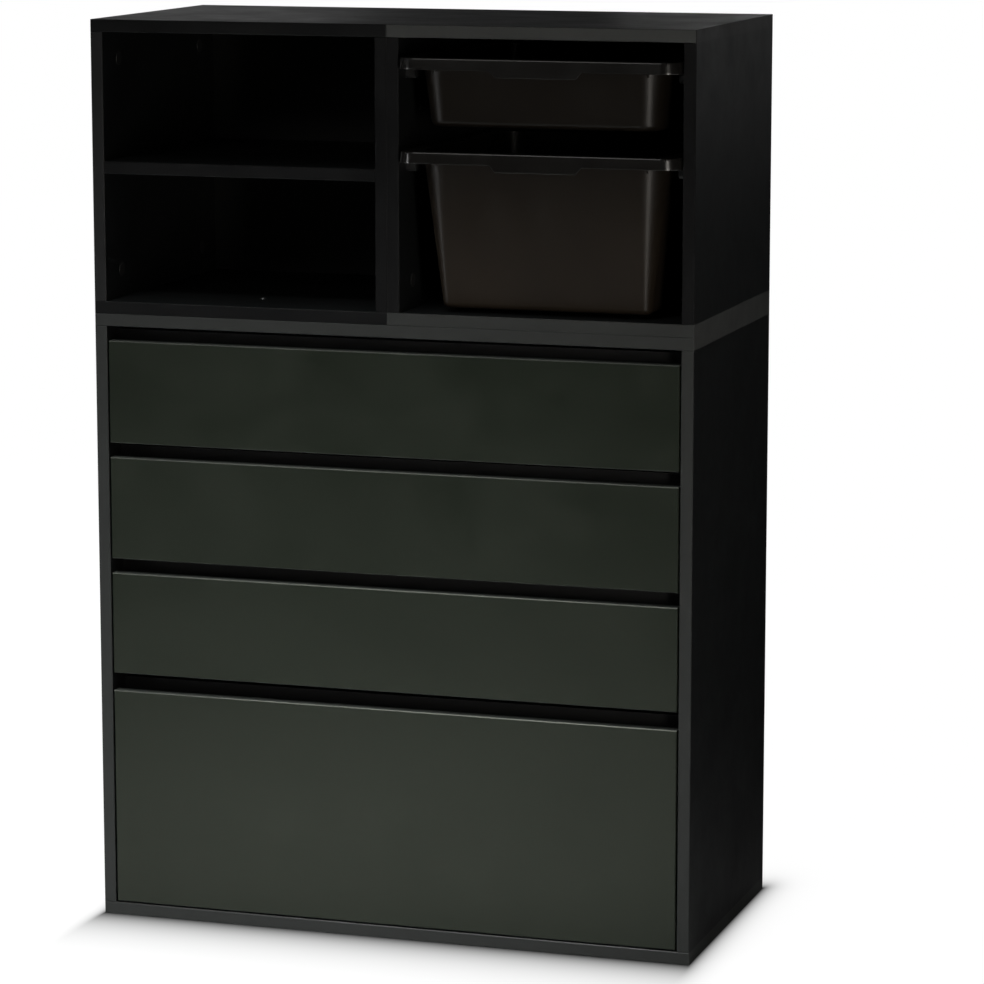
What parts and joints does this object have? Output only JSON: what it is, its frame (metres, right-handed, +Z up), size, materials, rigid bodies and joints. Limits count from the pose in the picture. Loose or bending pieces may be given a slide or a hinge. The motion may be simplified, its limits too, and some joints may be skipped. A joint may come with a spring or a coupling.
{
  "type": "craft storage drawer tower",
  "caption": "Black storage tower: drawer cabinet with inset fronts and finger gaps, topped by a shelved cubby and a cubby with sliding moulded bins.",
  "frame": {"origin": "on the floor, at the centre of the base cabinet's footprint", "axes": "+X across the front from left to right, +Y from the front to the back, +Z up"},
  "size_m": [0.75, 0.3774, 1.104],
  "materials": {
    "case_laminate": "black satin melamine laminate",
    "front_laminate": "black satin melamine laminate",
    "box_laminate": "black foil-wrapped board",
    "hardboard": "black painted hardboard",
    "runner_steel": "black epoxy-coated steel",
    "roller_nylon": "natural nylon",
    "strip_wood": "black painted hardwood",
    "bin_plastic": "black moulded polypropylene"
  },
  "bodies": {
    "cabinet": {"base_top_panel": "case_laminate", "base_bottom_panel": "case_laminate", "base_left_side": "case_laminate", "base_right_side": "case_laminate", "left_cubby_top_panel": "case_laminate", "left_cubby_bottom_panel": "case_laminate", "left_cubby_left_side": "case_laminate", "left_cubby_right_side": "case_laminate", "right_cubby_top_panel": "case_laminate", "right_cubby_bottom_panel": "case_laminate", "right_cubby_left_side": "case_laminate", "right_cubby_right_side": "case_laminate", "base_back_panel": "hardboard", "left_cubby_back_panel": "hardboard", "right_cubby_back_panel": "hardboard", "left_cubby_shelf": "case_laminate", "front_rails": "case_laminate", "small_bin_strips": "strip_wood", "large_bin_strips": "strip_wood", "cabinet_runners_1": "runner_steel", "cabinet_runners_2": "runner_steel", "cabinet_runners_3": "runner_steel", "cabinet_runners_4": "runner_steel"},
    "small_bin": {"small_bin": "bin_plastic"},
    "large_bin": {"large_bin": "bin_plastic"},
    "drawer_1": {"drawer_1_front": "front_laminate", "drawer_1_left_side": "box_laminate", "drawer_1_right_side": "box_laminate", "drawer_1_back": "box_laminate", "drawer_1_bottom": "hardboard", "drawer_1_runners": "runner_steel"},
    "front_rollers_1": {"front_rollers_1": "roller_nylon"},
    "rear_rollers_1": {"rear_rollers_1": "roller_nylon"},
    "drawer_2": {"drawer_2_front": "front_laminate", "drawer_2_left_side": "box_laminate", "drawer_2_right_side": "box_laminate", "drawer_2_back": "box_laminate", "drawer_2_bottom": "hardboard", "drawer_2_runners": "runner_steel"},
    "front_rollers_2": {"front_rollers_2": "roller_nylon"},
    "rear_rollers_2": {"rear_rollers_2": "roller_nylon"},
    "drawer_3": {"drawer_3_front": "front_laminate", "drawer_3_left_side": "box_laminate", "drawer_3_right_side": "box_laminate", "drawer_3_back": "box_laminate", "drawer_3_bottom": "hardboard", "drawer_3_runners": "runner_steel"},
    "front_rollers_3": {"front_rollers_3": "roller_nylon"},
    "rear_rollers_3": {"rear_rollers_3": "roller_nylon"},
    "drawer_4": {"drawer_4_front": "front_laminate", "drawer_4_left_side": "box_laminate", "drawer_4_right_side": "box_laminate", "drawer_4_back": "box_laminate", "drawer_4_bottom": "hardboard", "drawer_4_runners": "runner_steel"},
    "front_rollers_4": {"front_rollers_4": "roller_nylon"},
    "rear_rollers_4": {"rear_rollers_4": "roller_nylon"}
  },
  "joints": [
    {"name": "drawer_1_slide", "type": "slide", "parent": "cabinet", "child": "drawer_1", "axis": [0, -1, 0], "range_m": [0, 0.25]},
    {"name": "front_rollers_1_spin", "type": "hinge", "parent": "cabinet", "child": "front_rollers_1", "pos_m": [0, -0.149, 0.6018], "axis": [1, 0, 0], "range_deg": [-10, 1800]},
    {"name": "rear_rollers_1_spin", "type": "hinge", "parent": "drawer_1", "child": "rear_rollers_1", "pos_m": [0, 0.144, 0.6015], "axis": [1, 0, 0], "range_deg": [-10, 1800]},
    {"name": "drawer_2_slide", "type": "slide", "parent": "cabinet", "child": "drawer_2", "axis": [0, -1, 0], "range_m": [0, 0.25]},
    {"name": "front_rollers_2_spin", "type": "hinge", "parent": "cabinet", "child": "front_rollers_2", "pos_m": [0, -0.149, 0.4588], "axis": [1, 0, 0], "range_deg": [-10, 1800]},
    {"name": "rear_rollers_2_spin", "type": "hinge", "parent": "drawer_2", "child": "rear_rollers_2", "pos_m": [0, 0.144, 0.4585], "axis": [1, 0, 0], "range_deg": [-10, 1800]},
    {"name": "drawer_3_slide", "type": "slide", "parent": "cabinet", "child": "drawer_3", "axis": [0, -1, 0], "range_m": [0, 0.25]},
    {"name": "front_rollers_3_spin", "type": "hinge", "parent": "cabinet", "child": "front_rollers_3", "pos_m": [0, -0.149, 0.3158], "axis": [1, 0, 0], "range_deg": [-10, 1800]},
    {"name": "rear_rollers_3_spin", "type": "hinge", "parent": "drawer_3", "child": "rear_rollers_3", "pos_m": [0, 0.144, 0.3155], "axis": [1, 0, 0], "range_deg": [-10, 1800]},
    {"name": "drawer_4_slide", "type": "slide", "parent": "cabinet", "child": "drawer_4", "axis": [0, -1, 0], "range_m": [0, 0.25]},
    {"name": "front_rollers_4_spin", "type": "hinge", "parent": "cabinet", "child": "front_rollers_4", "pos_m": [0, -0.149, 0.0268], "axis": [1, 0, 0], "range_deg": [-10, 1800]},
    {"name": "rear_rollers_4_spin", "type": "hinge", "parent": "drawer_4", "child": "rear_rollers_4", "pos_m": [0, 0.144, 0.0265], "axis": [1, 0, 0], "range_deg": [-10, 1800]},
    {"name": "small_bin_slide", "type": "slide", "parent": "cabinet", "child": "small_bin", "axis": [0, -1, 0], "range_m": [0, 0.3]},
    {"name": "large_bin_slide", "type": "slide", "parent": "cabinet", "child": "large_bin", "axis": [0, -1, 0], "range_m": [0, 0.3]}
  ],
  "couplings": [
    {"joint": "front_rollers_1_spin", "follows": "drawer_1_slide", "rad_per_m": 117.65},
    {"joint": "rear_rollers_1_spin", "follows": "drawer_1_slide", "rad_per_m": 119.05},
    {"joint": "front_rollers_2_spin", "follows": "drawer_2_slide", "rad_per_m": 117.65},
    {"joint": "rear_rollers_2_spin", "follows": "drawer_2_slide", "rad_per_m": 119.05},
    {"joint": "front_rollers_3_spin", "follows": "drawer_3_slide", "rad_per_m": 117.65},
    {"joint": "rear_rollers_3_spin", "follows": "drawer_3_slide", "rad_per_m": 119.05},
    {"joint": "front_rollers_4_spin", "follows": "drawer_4_slide", "rad_per_m": 117.65},
    {"joint": "rear_rollers_4_spin", "follows": "drawer_4_slide", "rad_per_m": 119.05}
  ]
}
